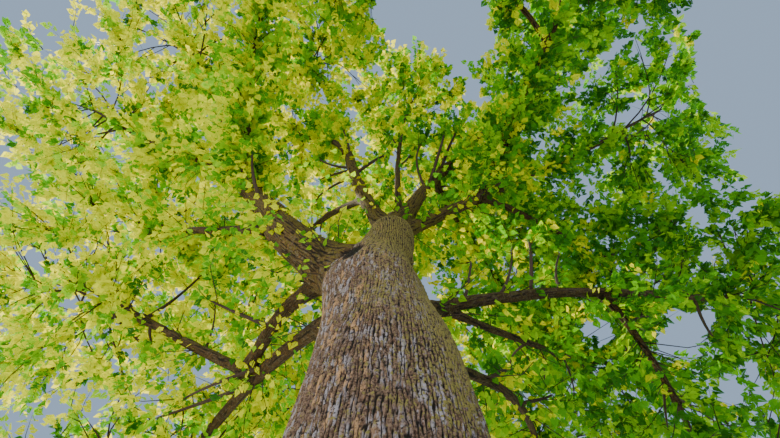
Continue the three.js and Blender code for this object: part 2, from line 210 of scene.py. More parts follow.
BUSHY = {  # and from the boughs that are bushy all along
    "upper_left": 40, "upper_main": 40, "right_crest": 45, "left_low": 50, "left_outer": 50,
    "right_low": 50, "far_right": 50, "left_top": 60, "left_crest": 60, "upper_right": 60,
    "crest_right": 60, "right_hanging": 80, "front_right": 170, "left_great": 190, "front_left": 200,
}
BUSHY_FROM = 0.08  # how far along a bushy bough its shoots start
LEAFY_FROM = 0.36  # and along another one
LIMB_REACH = (0.45, 1.25)  # how far from the bough they end
LIMB_CLEAR = 0.2  # and how far at least from every limb
BRANCH_BEND = 0.11  # how far a side branch bends, in shares of its length
BRANCH_TAPER = 0.45
BRANCH_SIDES = 7
BRANCH_SHOOTS = 6  # leafy shoots round the end of each side branch
BRANCH_SPREAD = 0.42  # how widely they scatter
BRANCH_CLEAR = 0.15  # how far they end from every limb at least
SHOOT_LEAVES = 19
SPRAYS = 3  # sprays of leaves along a shoot, each of one tint
# The length of a blade by its distance from the lens, larger than life only as far as the count needs
LEAF_FAR = (3.5, 6.5, 11.0, 18.0)
LEAF_SIZES = (0.08, 0.104, 0.142, 0.182)
LEAF_CLEAR = 0.06  # what a shoot's end keeps clear of the next mass's space
LEAF_RIM = 0.975  # the share of a mass's space that its shoots end in
RAGGED = 0.07  # how ragged its rim is
CORE = 0.45  # how full its middle is
SHORTEST = 0.35  # the least that a shoot should be long
FORWARD = 0.45  # how much nearer a start counts that the shoot leaves forwards
SIDEWAYS = 1.25  # by how much its distance counts where it leaves straight to the side
TOO_SHORT = 2  # and by how much what it lacks of the least length
SIZE_POWER = 2.2  # of a mass's radius, by which the shoots are shared out
LEAF_POWER = 1.4  # of its leaves' size, which counts against it
SHOOT_RADIUS = 0.0045  # of the shortest shoot
SHOOT_THICKER = 0.005  # and for each metre more
SHOOT_TAPER = 0.3  # the radius of its end by that of its foot
SHOOT_BEND = 0.13  # how far a shoot bends, in shares of its length
SHOOT_HOLD = 0.45  # how far from its foot it holds the way that it sets off on, in the same shares
LEAFY_PART = 0.9  # how long the outer part of a shoot is that bears leaves
LEAF_SPREAD = 0.42  # how unevenly a shoot's leaves stand out
LEAF_RANGE = (0.7, 1.18)  # how much their size varies
LEAF_DROOP = 0.35  # how much they hang
STRIPPED = 0.82  # how many leaves are left out before the bare stretches of the limbs

# Side branches of each bough: how far along it one leaves, its azimuth, rise, length and base radius
BRANCHES = {
    "left_middle": ((0.7, 183, 26, 1.3, 0.036),),
    "left_knee": ((0.97, 352, 80, 2, 0.04), (0.88, 99, 1, 0.45, 0.04), (0.35, 215, 73, 1.3, 0.022)),
    "left_low": ((0.62, 153, -2, 1.6, 0.032), (0.75, 152, 4, 2, 0.036)),
    "left_great": ((0.45, 240, 47, 1.4, 0.045), (0.3, 151, 40, 0.9, 0.045)),
    "upper_left": (
        (0.72, 350, 64, 1.5, 0.042), (0.8, 172, 57, 2, 0.034), (0.78, 148, 49, 1.9, 0.036),
        (0.7, 136, 36, 1.9, 0.032), (0.85, 235, 66, 1.8, 0.038),
    ),
    "upper_main": (
        (0.62, 17, 55, 1.3, 0.04), (0.66, 301, 66, 2.2, 0.042), (0.9, 303, 56, 1.8, 0.05),
        (0.6, 273, 70, 2, 0.034),
    ),
    "top_crown": ((0.35, 321, 64, 1.3, 0.026), (0.5, 219, 56, 1.3, 0.024)),
    "right_lowest": ((0.38, 31, 45, 0.7, 0.034), (0.62, 27, 37, 1.1, 0.03)),
    "right_low": (
        (0.6, 335, 76, 1.6, 0.032), (0.3, 2, 77, 1.2, 0.024), (0.75, 358, 71, 1.6, 0.03),
        (0.45, 350, 70, 1.7, 0.026),
    ),
    "right_slender": ((0.45, 90, 31, 0.9, 0.022), (0.6, 72, 23, 1.2, 0.024), (0.85, 63, 19, 1.6, 0.024)),
    "right_hanging": ((0.35, 14, 36, 0.9, 0.024), (0.8, 69, 4, 1.1, 0.024), (0.95, 37, 20, 1.9, 0.024)),
    "right_outer": ((0.8, 46, 15, 1.9, 0.034),),
    "far_left": ((0.3, 118, 36, 1.2, 0.038),),
}

SEED = 20
GOLDEN_ANGLE = math.pi * (3 - math.sqrt(5))
GOLDEN_SHARE = 0.618  # the step in height from one main twig to the next
EVEN_STEPS = np.array([0.8191725, 0.6710436, 0.5497005])  # three steps whose multiples fill a box evenly
PRIMES = (73856093, 19349663, 83492791)
FOLDS = ((15, 2246822519), (13, 668265263), (16, 1))  # how a random number's bits are mixed

# The photograph's view
PHOTO_WIDTH = 780
PHOTO_HEIGHT = 438
LENS_PIXELS = 420  # distance from the lens to the picture, in the photograph's pixels
SENSOR = 36  # the camera's width in millimetres
CAMERA_PLACE = np.array([-0.14, -2.4, 1.0])
CAMERA_PITCH = 70
CAMERA_ROLL = 2.5


def smooth(share):
    """Eases a share between 0 and 1: three squares less two cubes."""
    share = np.clip(share, 0, 1)
    return share * share * (3 - 2 * share)


def unit(vectors):
    """Vectors divided by their own length."""
    return vectors / np.maximum(np.linalg.norm(vectors, axis=-1, keepdims=True), 1e-9)


def bearing(azimuth, rise):
    """The unit vector of an azimuth and a rise above level, both in degrees."""
    turn, lift = np.radians(azimuth), np.radians(rise)
    return np.array([np.cos(lift) * np.cos(turn), np.cos(lift) * np.sin(turn), np.sin(lift)])


def shuffled(first, second, seed):
    """Random numbers from 0 to 1 that belong to whole-number cells: products with primes, folded."""
    mix = np.int64(seed * PRIMES[2])
    for cells, prime in zip((first, second), PRIMES):
        mix = mix ^ cells.astype(np.int64) * prime
    for shift, prime in FOLDS:
        mix = (mix ^ (mix >> shift)) * prime
    return (mix & 0xFFFFFF) / 0x1000000


def swell(u, v, around, seed):
    """Smooth noise from -1 to 1 that comes round after some cells of u.

    Random numbers at the corners of each cell, eased between them in both directions.
    """
    cell_u, cell_v = np.floor(u), np.floor(v)
    part_u, part_v = smooth(u - cell_u), smooth(v - cell_v)
    total = 0
    for step_u, share_u in ((0, 1 - part_u), (1, part_u)):
        for step_v, share_v in ((0, 1 - part_v), (1, part_v)):
            corner = shuffled(np.mod(cell_u + step_u, around), cell_v + step_v, seed)
            total = total + share_u * share_v * corner
    return 2 * total - 1


def bark_relief(turns, along, ridges, run, broken, seed):
    """The bark's height from 0 in a furrow to 1 on a crest, by share of a turn and distance along.

    Ridges side by side round the limb, pushed about by slow and quick noise so that they pinch, swell
    and join. Across them run cracks, one to each run of a ridge, deeper where the bark is more broken.
    Each scale between two cracks has a height of its own, and small pits roughen them all.
    """
    place = turns * ridges
    for cells, runs, push, number in RIDGE_STRAYS:
        around = max(2, int(ridges * cells))
        place = place + push * swell(turns * around, along / (run * runs), around, seed + number)
    ridge = np.floor(place)
    across = 1 - np.abs(2 * (place - ridge) - 1)
    wrapped = np.mod(ridge, ridges)
    step = along / run + CRACK_STAGGER * shuffled(wrapped, 0 * wrapped, seed + 5)
    step = step + CRACK_STRAY * swell(turns * ridges, along / run, ridges, seed + 6)
    scale = np.floor(step)
    gap = 1 - np.abs(2 * (step - scale) - 1)
    own = shuffled(wrapped, scale, seed + 7)
    depth = broken * (LEAST_CRACK + (1 - LEAST_CRACK) * shuffled(wrapped, scale, seed + 8))
    height = smooth(across / (FLANK[0] + FLANK[1] * own)) * (LEAST_CREST + (1 - LEAST_CREST) * own)
    height = height * (1 - depth * (1 - smooth(gap / CRACK_WIDTH)))
    more, longer, pitted, sunken = PITS
    pits = swell(turns * ridges * more, along / run * longer, ridges * more, seed + 9)
    return np.clip(height + pitted * pits - sunken, 0, 1)


# Curves. A curve is three points: a quadratic Bezier's start, hold and end.


def on_curve(curve, share):
    """Places on a curve: its three points weighed by the squares and product of share and the rest."""
    start, hold, end = curve
    share = np.asarray(share)[..., None]
    return (1 - share) ** 2 * start + 2 * share * (1 - share) * hold + share**2 * end


def heading(curve, share):
    """Unit headings along a curve: from start to hold, eased to from hold to end."""
    start, hold, end = curve
    share = np.asarray(share)[..., None]
    return unit((1 - share) * (hold - start) + share * (end - hold))


def by_length(curve, share):
    """The parameters at shares of a curve's length, read from a table of chords."""
    steps = np.linspace(0, 1, 201)
    chords = np.linalg.norm(np.diff(on_curve(curve, steps), axis=0), axis=1)
    walked = np.concatenate([[0], np.cumsum(chords)])
    return np.interp(np.asarray(share) * walked[-1], walked, steps)


def length_of(curve):
    """A curve's length, as the sum of its chords."""
    return np.linalg.norm(np.diff(on_curve(curve, np.linspace(0, 1, 101)), axis=0), axis=1).sum()


def many(curves):
    """The points of many curves, shaped so that each curve takes its own row of shares."""
    return tuple(points[:, None] for points in curves)


trunk_curve = (
    np.zeros(3),
    np.array([2 * TRUNK_LEAN - FORK_OFFSET / 2, 0, FORK_HEIGHT / 2]),
    np.array([FORK_OFFSET, 0, FORK_HEIGHT]),
)


def trunk_radius(height, azimuth):
    """The trunk's radius: an even taper, a lobed flare, a shoulder under the great bough and a waist."""
    taper = FORK_RADIUS + TRUNK_TAPER * np.maximum(0, 1 - height / FORK_HEIGHT) ** TAPER_POWER
    lobes = 1 + LOBE_DEPTH * np.sin(ROOT_LOBES * azimuth + np.sin(2 * azimuth))
    facing = np.maximum(0, np.cos(azimuth - math.radians(SHOULDER_AZIMUTH)))
    level = (height - SHOULDER_HEIGHT) / SHOULDER_SPREAD
    shoulder = SHOULDER * facing**2 * np.exp(-(level**2))
    waist = WAIST * np.exp(-(((height - WAIST_HEIGHT) / WAIST_SPREAD) ** 2))
    return taper + FLARE * np.exp(-height / FLARE_HEIGHT) * lobes + shoulder - waist


def bough_radius(radii, share):
    """A bough's radius at shares of its length: more of it is lost near the base than near the tip."""
    base, end = radii
    return base + (end - base) * np.asarray(share) ** BOUGH_SWING


def trunk_round(height):
    """The share of its radius that the trunk keeps where its top rounds off: a quarter circle."""
    first, last = FORK_ROUND
    return np.sqrt(1 - np.clip((height - first) / (last - first), 0, 0.995) ** 2)


def swollen(gap, width):
    """How far a skin swells towards another one: a quarter of the width where they meet, none beyond it.

    Both skins swell by the square of the share of the width that is left between them, so that they run
    into one another in a hollow curve.
    """
    return width / 4 * np.clip(1 - gap / width, 0, 1) ** 2


def in_hollow(points):
    """How far in the crotch's hollow points are: 1 at its middle, with steep sides."""
    return np.exp(-((((points - HOLLOW) / HOLLOW_SIZE) ** 2).sum(-1) ** 2))


def grow_boughs():
    """The boughs of the table with their curves: each sets off on its bearing and swings to its tip."""
    curves = {"trunk": trunk_curve}
    boughs = {}
    for name, (parent, along, sets, tip, radii, *mass) in BOUGHS.items():
        start = on_curve(curves[parent], by_length(curves[parent], along))
        azimuth, reach, height = tip
        end = bearing(azimuth, 0) * reach + np.array([0, 0, height])
        hold = start + bearing(*sets) * BOUGH_EASE * np.linalg.norm(end - start)
        curves[name] = (start, hold, end)
        boughs[name] = {"name": name, "parent": parent, "curve": curves[name], "radii": radii}
        boughs[name]["mass"] = mass[0] if mass else None
    return boughs


boughs = grow_boughs()


def grow_branches():
    """The side branches' boughs, curves and base radii: each straight on its bearing, a little bent."""
    rng = np.random.default_rng(SEED)
    rows = [(name, *row) for name, group in BRANCHES.items() for row in group]
    names, along, azimuths, rises, length, base = zip(*rows)
    curves = [boughs[name]["curve"] for name in names]
    starts = np.array([on_curve(curve, by_length(curve, share)) for curve, share in zip(curves, along)])
    reach = bearing(azimuths, rises).T * np.array(length)[:, None]
    holds = starts + reach * 0.5 + rng.normal(0, BRANCH_BEND, starts.shape) * np.array(length)[:, None]
    return names, (starts, holds, starts + reach, np.array(base))


branch_owners, branches = grow_branches()


def gap_to_trunk(points):
    """How far points are outside the trunk: off its middle at their own height, less its radius there."""
    height = np.clip(points[..., 2], 0, FORK_HEIGHT)
    off = points - on_curve(trunk_curve, height / FORK_HEIGHT)
    azimuth = np.arctan2(off[..., 1], off[..., 0])
    gap = np.hypot(off[..., 0], off[..., 1]) - trunk_radius(height, azimuth) * trunk_round(height)
    return np.hypot(np.maximum(gap, 0), off[..., 2]) + np.minimum(gap, 0)


def gap_to_balls(points, middles, radii):
    """How far points are outside the nearest of some balls: off its middle, less its radius."""
    nearest = np.full(points.shape[:-1], np.inf)
    for middle, radius in zip(middles, radii):
        nearest = np.minimum(nearest, np.linalg.norm(points - middle, axis=-1) - radius)
    return nearest


def gap_to_limb(points, name):
    """How far points are outside a limb: outside the nearest of the balls along it, as thick as it is."""
    if name == "trunk":
        return gap_to_trunk(points)
    shares, bough = np.linspace(0, 1, BALLS), boughs[name]
    middles = on_curve(bough["curve"], by_length(bough["curve"], shares))
    return gap_to_balls(points, middles, bough_radius(bough["radii"], shares))


# Meshes


def mesh_piece(name, places, faces, material, attributes=(), flat=True):
    """A piece from arrays: places of the corners, and faces that each name three or four of them."""
    mesh = bpy.data.meshes.new(name)
    corners = np.concatenate([group.ravel() for group in faces]).astype(np.int32)
    totals = np.concatenate([np.full(len(group), group.shape[1], np.int32) for group in faces])
    mesh.vertices.add(len(places))
    mesh.vertices.foreach_set("co", places.astype(np.float32).ravel())
    mesh.loops.add(len(corners))
    mesh.loops.foreach_set("vertex_index", corners)
    mesh.polygons.add(len(totals))
    mesh.polygons.foreach_set("loop_start", (np.cumsum(totals) - totals).astype(np.int32))
    mesh.polygons.foreach_set("loop_total", totals)
    if not flat:
        mesh.polygons.foreach_set("use_smooth", np.ones(len(totals), bool))
    for title, values in attributes:
        layer = mesh.attributes.new(title, "FLOAT", "POINT")
        layer.data.foreach_set("value", values.astype(np.float32).ravel())
    mesh.update(calc_edges=True)
    if not flat:
        mesh.set_sharp_from_angle(angle=math.radians(SHARP_EDGE))
    mesh.materials.append(material)
    piece = bpy.data.objects.new(name, mesh)
    bpy.context.scene.collection.objects.link(piece)
    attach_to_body(piece, "root")
    return piece


def ring_walls(count, sides):
    """The numbers of the corners on some rings, those of each one's neighbour, and the walls between."""
    index = np.arange(count * sides).reshape(count, sides)
    beside = np.roll(index, -1, axis=1)
    walls = np.stack([index[:-1], beside[:-1], beside[1:], index[1:]], axis=-1).reshape(-1, 4)
    return index, beside, walls


def closed_skin(name, rings, material, attributes):
    """A closed tube from rings of places, with a pole at each end; seen from its end they turn leftwards.

    attributes are names with one value for each place on the rings.
    """
    count, sides = rings.shape[:2]
    index, beside, walls = ring_walls(count, sides)
    foot = np.stack([np.full(sides, count * sides), beside[0], index[0]], axis=-1)
    top = np.stack([np.full(sides, count * sides + 1), index[-1], beside[-1]], axis=-1)
    places = np.concatenate([rings.reshape(-1, 3), [rings[0].mean(0), rings[-1].mean(0)]])
    padded = [
        (title, np.concatenate([values.ravel(), [values[0].mean(), values[-1].mean()]]))
        for title, values in attributes
    ]
    return mesh_piece(name, places, [walls, np.concatenate([foot, top])], material, padded, flat=False)


# Materials


def linear(hex_colour):
    """A colour written as sRGB hex, turned to linear light."""
    channels = np.array([int(hex_colour[i : i + 2], 16) for i in (1, 3, 5)]) / 255
    low = channels <= 0.04045
    return (*np.where(low, channels / 12.92, ((channels + 0.055) / 1.055) ** 2.4), 1.0)


def add(tree, kind, feeds=None, **settings):
    """Adds a node with its settings, and feeds its sockets with values or with other nodes' outputs."""
    node = tree.nodes.new(kind)
    for name, value in settings.items():
        setattr(node, name, value)
    for socket, value in (feeds or {}).items():
        if isinstance(value, bpy.types.NodeSocket):
            tree.links.new(value, node.inputs[socket])
        else:
            node.inputs[socket].default_value = value
    return node


def new_material(name):
    """An empty material and its node tree."""
    material = bpy.data.materials.new(name)
    material.use_nodes = True
    material.node_tree.nodes.clear()
    return material, material.node_tree


def blend_colours(tree, share, first, second):
    """A mix of two colours, each a hex or an output, by a share."""
    feeds = {0: share}
    for socket, colour in ((6, first), (7, second)):
        feeds[socket] = linear(colour) if isinstance(colour, str) else colour
    return add(tree, "ShaderNodeMix", feeds, data_type="RGBA").outputs[2]


def ramp(tree, value, low, high):
    """A value stretched so that low gives 0 and high gives 1, smoothly."""
    feeds = {"Value": value, "From Min": low, "From Max": high}
    return add(tree, "ShaderNodeMapRange", feeds, interpolation_type="SMOOTHSTEP").outputs["Result"]


def patches(tree, place, size_mm, detail=3.0, offset=0.0):
    """Noise whose patches are so many millimetres wide."""
    moved = add(tree, "ShaderNodeMapping", {"Vector": place, "Location": (offset, offset, 0)}).outputs[0]
    feeds = {"Vector": moved, "Scale": 1000 / size_mm, "Detail": detail, "Roughness": 0.6}
    return add(tree, "ShaderNodeTexNoise", feeds).outputs["Fac"]


def attribute(tree, name):
    """A value that the mesh holds at each corner."""
    return add(tree, "ShaderNodeAttribute", attribute_name=name).outputs["Fac"]


def product(tree, first, second):
    """Two values multiplied."""
    return add(tree, "ShaderNodeMath", {0: first, 1: second}, operation="MULTIPLY").outputs[0]


def linden_bark(name, painted_furrow_shade, brown, pale, grey, painted_sunlight, moss, upright=1.0):
    """Linden bark: flaking cork ridges weathered grey, furrows painted dark as shade, and lichen on the
    damp side.

    Matt all over, with chips and pits of one to three centimetres; the furrows, and the chips and the pits
    where the bark is low, are painted dark as shade. Where upright is under 1, the weathered streaks and
    the warm streaks of painted sunlight are that much longer than wide. The crest, lichen and painted sun
    attributes say where a corner lies.
    """
    material, tree = new_material(name)
    place = add(tree, "ShaderNodeTexCoord").outputs["Object"]
    drawn = add(tree, "ShaderNodeMapping", {"Vector": place, "Scale": (1, 1, upright)}).outputs[0]
    height = attribute(tree, "crest")
    fine = patches(tree, place, 19, 4.0)
    flake = patches(tree, drawn, 42, 4.0, offset=5.0)
    broad = patches(tree, place, 300, 3.0, offset=7.0)
    streak = patches(tree, drawn, 70, 3.0, offset=3.0)
    tuft = patches(tree, place, 34, 5.0, offset=11.0)
    ridge = blend_colours(tree, ramp(tree, fine, 0.38, 0.6), brown, pale)
    weathered = product(tree, ramp(tree, broad, 0.34, 0.54), ramp(tree, flake, 0.49, 0.58))
    weathered = product(tree, weathered, ramp(tree, attribute(tree, "lichen"), 1.1, 0.3))
    ridge = blend_colours(tree, weathered, ridge, grey)
    # Painted sunlight: warm streaks of bark on the side that the key light falls on
    painted_sunlit_streaks = product(tree, attribute(tree, "painted_sun"), ramp(tree, streak, 0.55, 0.63))
    ridge = blend_colours(tree, painted_sunlit_streaks, ridge, painted_sunlight)
    lichen = {0: attribute(tree, "lichen"), 1: 0.26, 2: tuft}
    damp = add(tree, "ShaderNodeMath", lichen, operation="MULTIPLY_ADD").outputs[0]
    damp = ramp(tree, damp, 0.58, 0.65)
    ridge = blend_colours(tree, product(tree, damp, ramp(tree, height, 0.2, 0.55)), ridge, moss)
    # Painted shade: the furrows, and chips and low pits in the ridges, take the dark colour
    chips = ramp(tree, patches(tree, place, 15, 3.0, offset=15.0), 0.32, 0.47)
    clear_of_painted_shade = product(tree, ramp(tree, height, 0.05, 0.42), chips)
    colour = blend_colours(tree, clear_of_painted_shade, painted_furrow_shade, ridge)
    grain = add(tree, "ShaderNodeBump", {"Height": fine, "Strength": 0.8, "Distance": 0.014})
    feeds = {"Base Color": colour, "Roughness": 0.9, "Normal": grain.outputs[0], "Specular IOR Level": 0.25}
    shader = add(tree, "ShaderNodeBsdfPrincipled", feeds)
    add(tree, "ShaderNodeOutputMaterial", {"Surface": shader.outputs[0]})
    return material


def linden_leaf(name, upper, through):
    """A living linden leaf: a thin blade with a faint gloss, which lets warm light through."""
    material, tree = new_material(name)
    feeds = {"Base Color": linear(upper), "Roughness": 0.55, "Specular IOR Level": 0.22}
    blade = add(tree, "ShaderNodeBsdfPrincipled", feeds)
    glow = add(tree, "ShaderNodeBsdfTranslucent", {"Color": linear(through)})
    both = add(tree, "ShaderNodeMixShader", {0: 0.5, 1: blade.outputs[0], 2: glow.outputs[0]})
    add(tree, "ShaderNodeOutputMaterial", {"Surface": both.outputs[0]})
    return material


def matt(name, colour, roughness):
    """A plain matt finish, as the smooth thin bark of twigs and a painted floor have."""
    material, tree = new_material(name)
    shader = add(tree, "ShaderNodeBsdfPrincipled", {"Base Color": linear(colour), "Roughness": roughness})
    add(tree, "ShaderNodeOutputMaterial", {"Surface": shader.outputs[0]})
    return material


# Each bark's first colour is painted shade for its furrows and chips, and its fifth is warm painted
# sunlight
trunk_bark = linden_bark(
    "old_linden_bark", "#120c08", "#493429", "#776152", "#918b94", "#aa8560", "#787039", upright=0.28
)
mossy_bark = linden_bark(
    "mossy_linden_bark", "#100a05", "#3c2a19", "#5a4429", "#625a4e", "#80602f", "#584f18"
)
# The limbs' bark: the same kind of bark, darkened all over as painted shade
painted_shade_limb_bark = linden_bark(
    "painted_shade_linden_limb_bark", "#0f0904", "#2d2010", "#49361d", "#4c4334", "#74562c", "#474512"
)
twig_bark = matt("linden_twig", "#34251a", 0.85)
# The leaves' tints: partly their own colours, partly painted light. The sunlit tint is painted sunlight and
# the deep tint painted shade.
LEAF_TINTS = {
    "painted_sunlit": linden_leaf("painted_sunlit_linden_leaf", "#bfd20a", "#fff722"),
    "fresh": linden_leaf("fresh_linden_leaf", "#70ac0b", "#bcec14"),
    "green": linden_leaf("green_linden_leaf", "#3f8a0a", "#7acc0e"),
    "deep": linden_leaf("painted_shade_linden_leaf", "#1f5e09", "#40920a"),
}


# The trunk


def trunk_rings():
    """The trunk's rings with their crest heights.

    Each ring lies level round the centreline, at the trunk's radius, swollen towards the boughs, less the
    depth of the furrows where the bark is low.
    """
    count = round(FORK_HEIGHT / RING_STEP)
    height = np.linspace(0, FORK_HEIGHT, count + 1)[:, None]
    turns = np.arange(TRUNK_SIDES)[None, :] / TRUNK_SIDES
    azimuth = 2 * math.pi * turns
    middles = on_curve(trunk_curve, height[:, 0] / FORK_HEIGHT)[:, None, :]
    out = np.stack([np.cos(azimuth), np.sin(azimuth), 0 * azimuth], axis=-1)
    lumps, lump, swells = TRUNK_LUMPS
    radius = trunk_radius(height, azimuth)
    radius = radius * (1 + swells * swell(turns * lumps + 0 * height, height / lump, lumps, SEED))
    facing = np.maximum(0, np.cos(azimuth - math.radians(SLIM_AZIMUTH)))
    radius = radius - SLIM * facing**2 * np.exp(-(((height - SLIM_HEIGHT) / SLIM_SPREAD) ** 2))
    radius = radius * trunk_round(height)
    surface = middles + out * radius[..., None]
    fillets = 0 * radius
    for bough in boughs.values():
        if bough["parent"] == "trunk":
            base, (part, balls) = bough["radii"][0], BALLS_NEAR
            spine = on_curve(bough["curve"], np.linspace(0, part, balls))
            near = np.nonzero(np.abs(height[:, 0] - spine[0, 2] - base) < BLEND_REACH)[0]
            rows = slice(near[0], near[-1] + 1)
            gaps = np.maximum(gap_to_balls(surface[rows], spine, [base] * len(spine)), 0)
            fillets[rows] = np.maximum(fillets[rows], swollen(gaps, BLEND * base))
    radius = radius + fillets
    turns, along = turns + 0 * height, height + 0 * turns
    low = bark_relief(turns, along, RIDGES, RIDGE_RUN, BROKEN[0], SEED + 20)
    high = bark_relief(turns, along, NUBS, NUB_RUN, BROKEN[1], SEED + 50)
    waves, wave, pushed = NUBS_EDGE
    edge = pushed * swell(turns * waves, along / wave, waves, SEED + 80)
    nubby = smooth((height - NUBS_FROM) / NUBS_OVER + edge)
    crest = low + (high - low) * nubby
    depth = FURROW + (FURROW_TOP - FURROW) * smooth(height / FORK_HEIGHT)
    sunken = in_hollow(middles + out * radius[..., None])
    radius = radius - depth * (1 - crest) - HOLLOW_DEPTH * sunken
    # In the hollow the crest falls to nought, which paints its bark the dark colour as shade
    return middles + out * radius[..., None], crest * (1 - sunken)


def make_trunk():
    """The trunk's skin, in pieces one above the other, with lichen on one side and warm painted sunlight on
    the other.

    Lichen grows with height and towards the damp side, and all round the top, pushed about by noise.
    """
    rings, crest = trunk_rings()
    height = rings[..., 2]
    azimuth = np.arctan2(rings[..., 1], rings[..., 0])
    damp_side = 0.5 + 0.5 * np.cos(azimuth - math.radians(DAMP_AZIMUTH))
    (low, low_from, low_over), (top, top_from, top_over) = DAMP_SIDE, DAMP_TOP
    lichen = low * damp_side**1.5 * smooth((height - low_from) / low_over)
    lichen = lichen + top * smooth((height - top_from) / top_over)
    patches_wide, patch, part = DAMP_PATCHES
    lichen = lichen + part * swell(azimuth * patches_wide, height / patch, OPEN, SEED + 40)
    lichen = np.clip(lichen, 0, 1)
    # Painted sunlight: a warm band of bark on the side that faces the key light
    edge, over, painted_sun_strength = PAINTED_SUN_BAND
    painted_sun = smooth((np.cos(azimuth - math.radians(PAINTED_SUN_AZIMUTH)) - edge) / over) * painted_sun_strength
    cuts = np.linspace(0, len(rings) - 1, TRUNK_PIECES + 1).astype(int)
    for place, (first, last) in enumerate(zip(cuts[:-1], cuts[1:])):
        rows = slice(first, last + 1)
        shown = [("crest", crest[rows]), ("lichen", lichen[rows]), ("painted_sun", painted_sun[rows])]
        piece = closed_skin(f"trunk_{place + 1}", rings[rows], trunk_bark, shown)
        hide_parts("trunk")


make_trunk()


# The boughs


def plane_normal(curve):
    """The unit vector across a curve's plane, or across the curve where it is straight."""
    start, hold, end = curve
    normal = np.cross(hold - start, end - hold)
    if np.linalg.norm(normal) < 1e-4:
        normal = np.cross(hold - start, [0.3, 0.5, 0.8])
    return unit(normal)


def beside(bough):
    """The limbs that a bough leaves from or beside: its parent, and the boughs next to it there."""
    parent, along = BOUGHS[bough["name"]][:2]
    near = [name for name, row in BOUGHS.items() if row[0] == parent and abs(row[1] - along) < NEIGHBOUR]
    return [parent, *(name for name in near if name != bough["name"])]


def bough_rings(bough, seed):
    """A bough's rings with their crest heights.

    Rings across the curve, which strays a little from its line, swollen towards the parent and the
    parent's other boughs, with slow lumps, the bark's furrows, knots and a rounded tip.
    """
    curve, radii = bough["curve"], bough["radii"]
    base, end = radii
    length = length_of(curve)
    shares = np.linspace(0, 1, 200)
    outside = gap_to_limb(on_curve(curve, by_length(curve, shares)), bough["parent"])
    first = shares[np.argmax(outside > -SUNK * base)]
    share = np.linspace(first, 1, max(12, round(length * (1 - first) / BOUGH_STEP)))
    parameter = by_length(curve, share)
    middles, ahead = on_curve(curve, parameter), heading(curve, parameter)
    side = plane_normal(curve)
    up = np.cross(ahead, side)
    radius, along = bough_radius(radii, share), share * length
    most = np.sin(math.pi * share) ** 0.5 * WANDER * radius
    for turn, vector in enumerate((side[None, :], up)):
        stray = 0
        for part, wave, number in WANDERS:
            stray = stray + part * swell(along / wave + seed, 0 * along, OPEN, seed + turn + number)
        middles = middles + vector * (stray * most)[:, None]
    sides = int(np.clip(round(2 * math.pi * base / SIDE_STEP), *BOUGH_SIDES))
    turns, level = np.meshgrid(np.arange(sides) / sides, along)
    lumps, lump, swells = BOUGH_LUMPS
    thick = radius[:, None] * (1 + swells * swell(turns * lumps, level / (lump * base), lumps, seed + 5))
    angle = 2 * math.pi * turns[..., None]
    ring = np.cos(angle) * side - np.sin(angle) * up[:, None, :]
    metres, more = BLEND_ALONG
    rows = np.nonzero(along < along[0] + metres + more * base)[0]
    skin = (middles[:, None, :] + ring * thick[..., None])[rows]
    swelling = np.zeros(skin.shape[:2])
    for other in beside(bough):
        thinner = base if other == "trunk" else min(base, boughs[other]["radii"][0])
        gap = np.maximum(gap_to_limb(skin, other), 0)
        swelling = np.maximum(swelling, swollen(gap, BLEND * thinner))
    thick[rows] += swelling
    ridges = int(np.clip(round(2 * math.pi * base / BOUGH_RIDGE), *BOUGH_RIDGES))
    crest = bark_relief(turns, level, ridges, BOUGH_RUN, BOUGH_BROKEN, seed + 7)
    deep, *between = BOUGH_FURROW
    thick = thick - np.clip(deep * radius, *between)[:, None] * (1 - crest)
    if bough["name"] == "left_great":
        # The hollow sinks in, and its crest falls to nought, which paints its bark the dark colour as shade
        sunken = in_hollow(middles[:, None, :] + ring * thick[..., None])
        thick, crest = thick - HOLLOW_DEPTH * sunken, crest * (1 - sunken)
    for knot, swells in KNOTS.get(bough["name"], ()):
        near = np.exp(-(((share - knot) * length / (KNOT_REACH * end)) ** 2))
        thick = thick * (1 + swells * near)[:, None]
    past_end = ahead[-1] * end * TIP_BULGE * np.sin(TIP_ANGLES)[:, None]
    middles = np.concatenate([middles, middles[-1] + past_end])
    thick = np.concatenate([thick, thick[-1:] * np.cos(TIP_ANGLES)[:, None]])
    ring, crest = (np.concatenate([part, np.repeat(part[-1:], 3, axis=0)]) for part in (ring, crest))
    return middles[:, None, :] + ring * thick[..., None], crest


MOSSY = {"left_great", "upper_left", "upper_main", "upper_right"}  # as damp as the trunk's top


def make_boughs():
    """Each bough's skin, with the lichen on its upper side, and warm painted sunlight all round and more on
    its left side.
    """
    everywhere, mossy, above, rightward = LIMB_DAMP
    painted_sunlight, leftward = LIMB_PAINTED_SUN
    for place, (name, bough) in enumerate(boughs.items()):
        rings, crest = bough_rings(bough, SEED + 11 * place)
        centres = rings.mean(axis=1, keepdims=True)
        facing = unit(rings - centres)
        lichen = everywhere + mossy * (name in MOSSY) + above * facing[..., 2]
        lichen = np.clip(lichen + rightward * facing[..., 0], 0, 1)
        # Painted sunlight: warm bark on the left, the side that the key light falls on
        painted_sun = np.clip(-leftward * facing[..., 0] + painted_sunlight, 0, 1)
        shown = [("crest", crest), ("lichen", lichen), ("painted_sun", painted_sun)]
        bark = mossy_bark if name in MOSSY else painted_shade_limb_bark
        piece = closed_skin(f"bough_{name}", rings, bark, shown)
        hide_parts(name)


make_boughs()


# The masses: their spaces, and the twigs and leaves in them


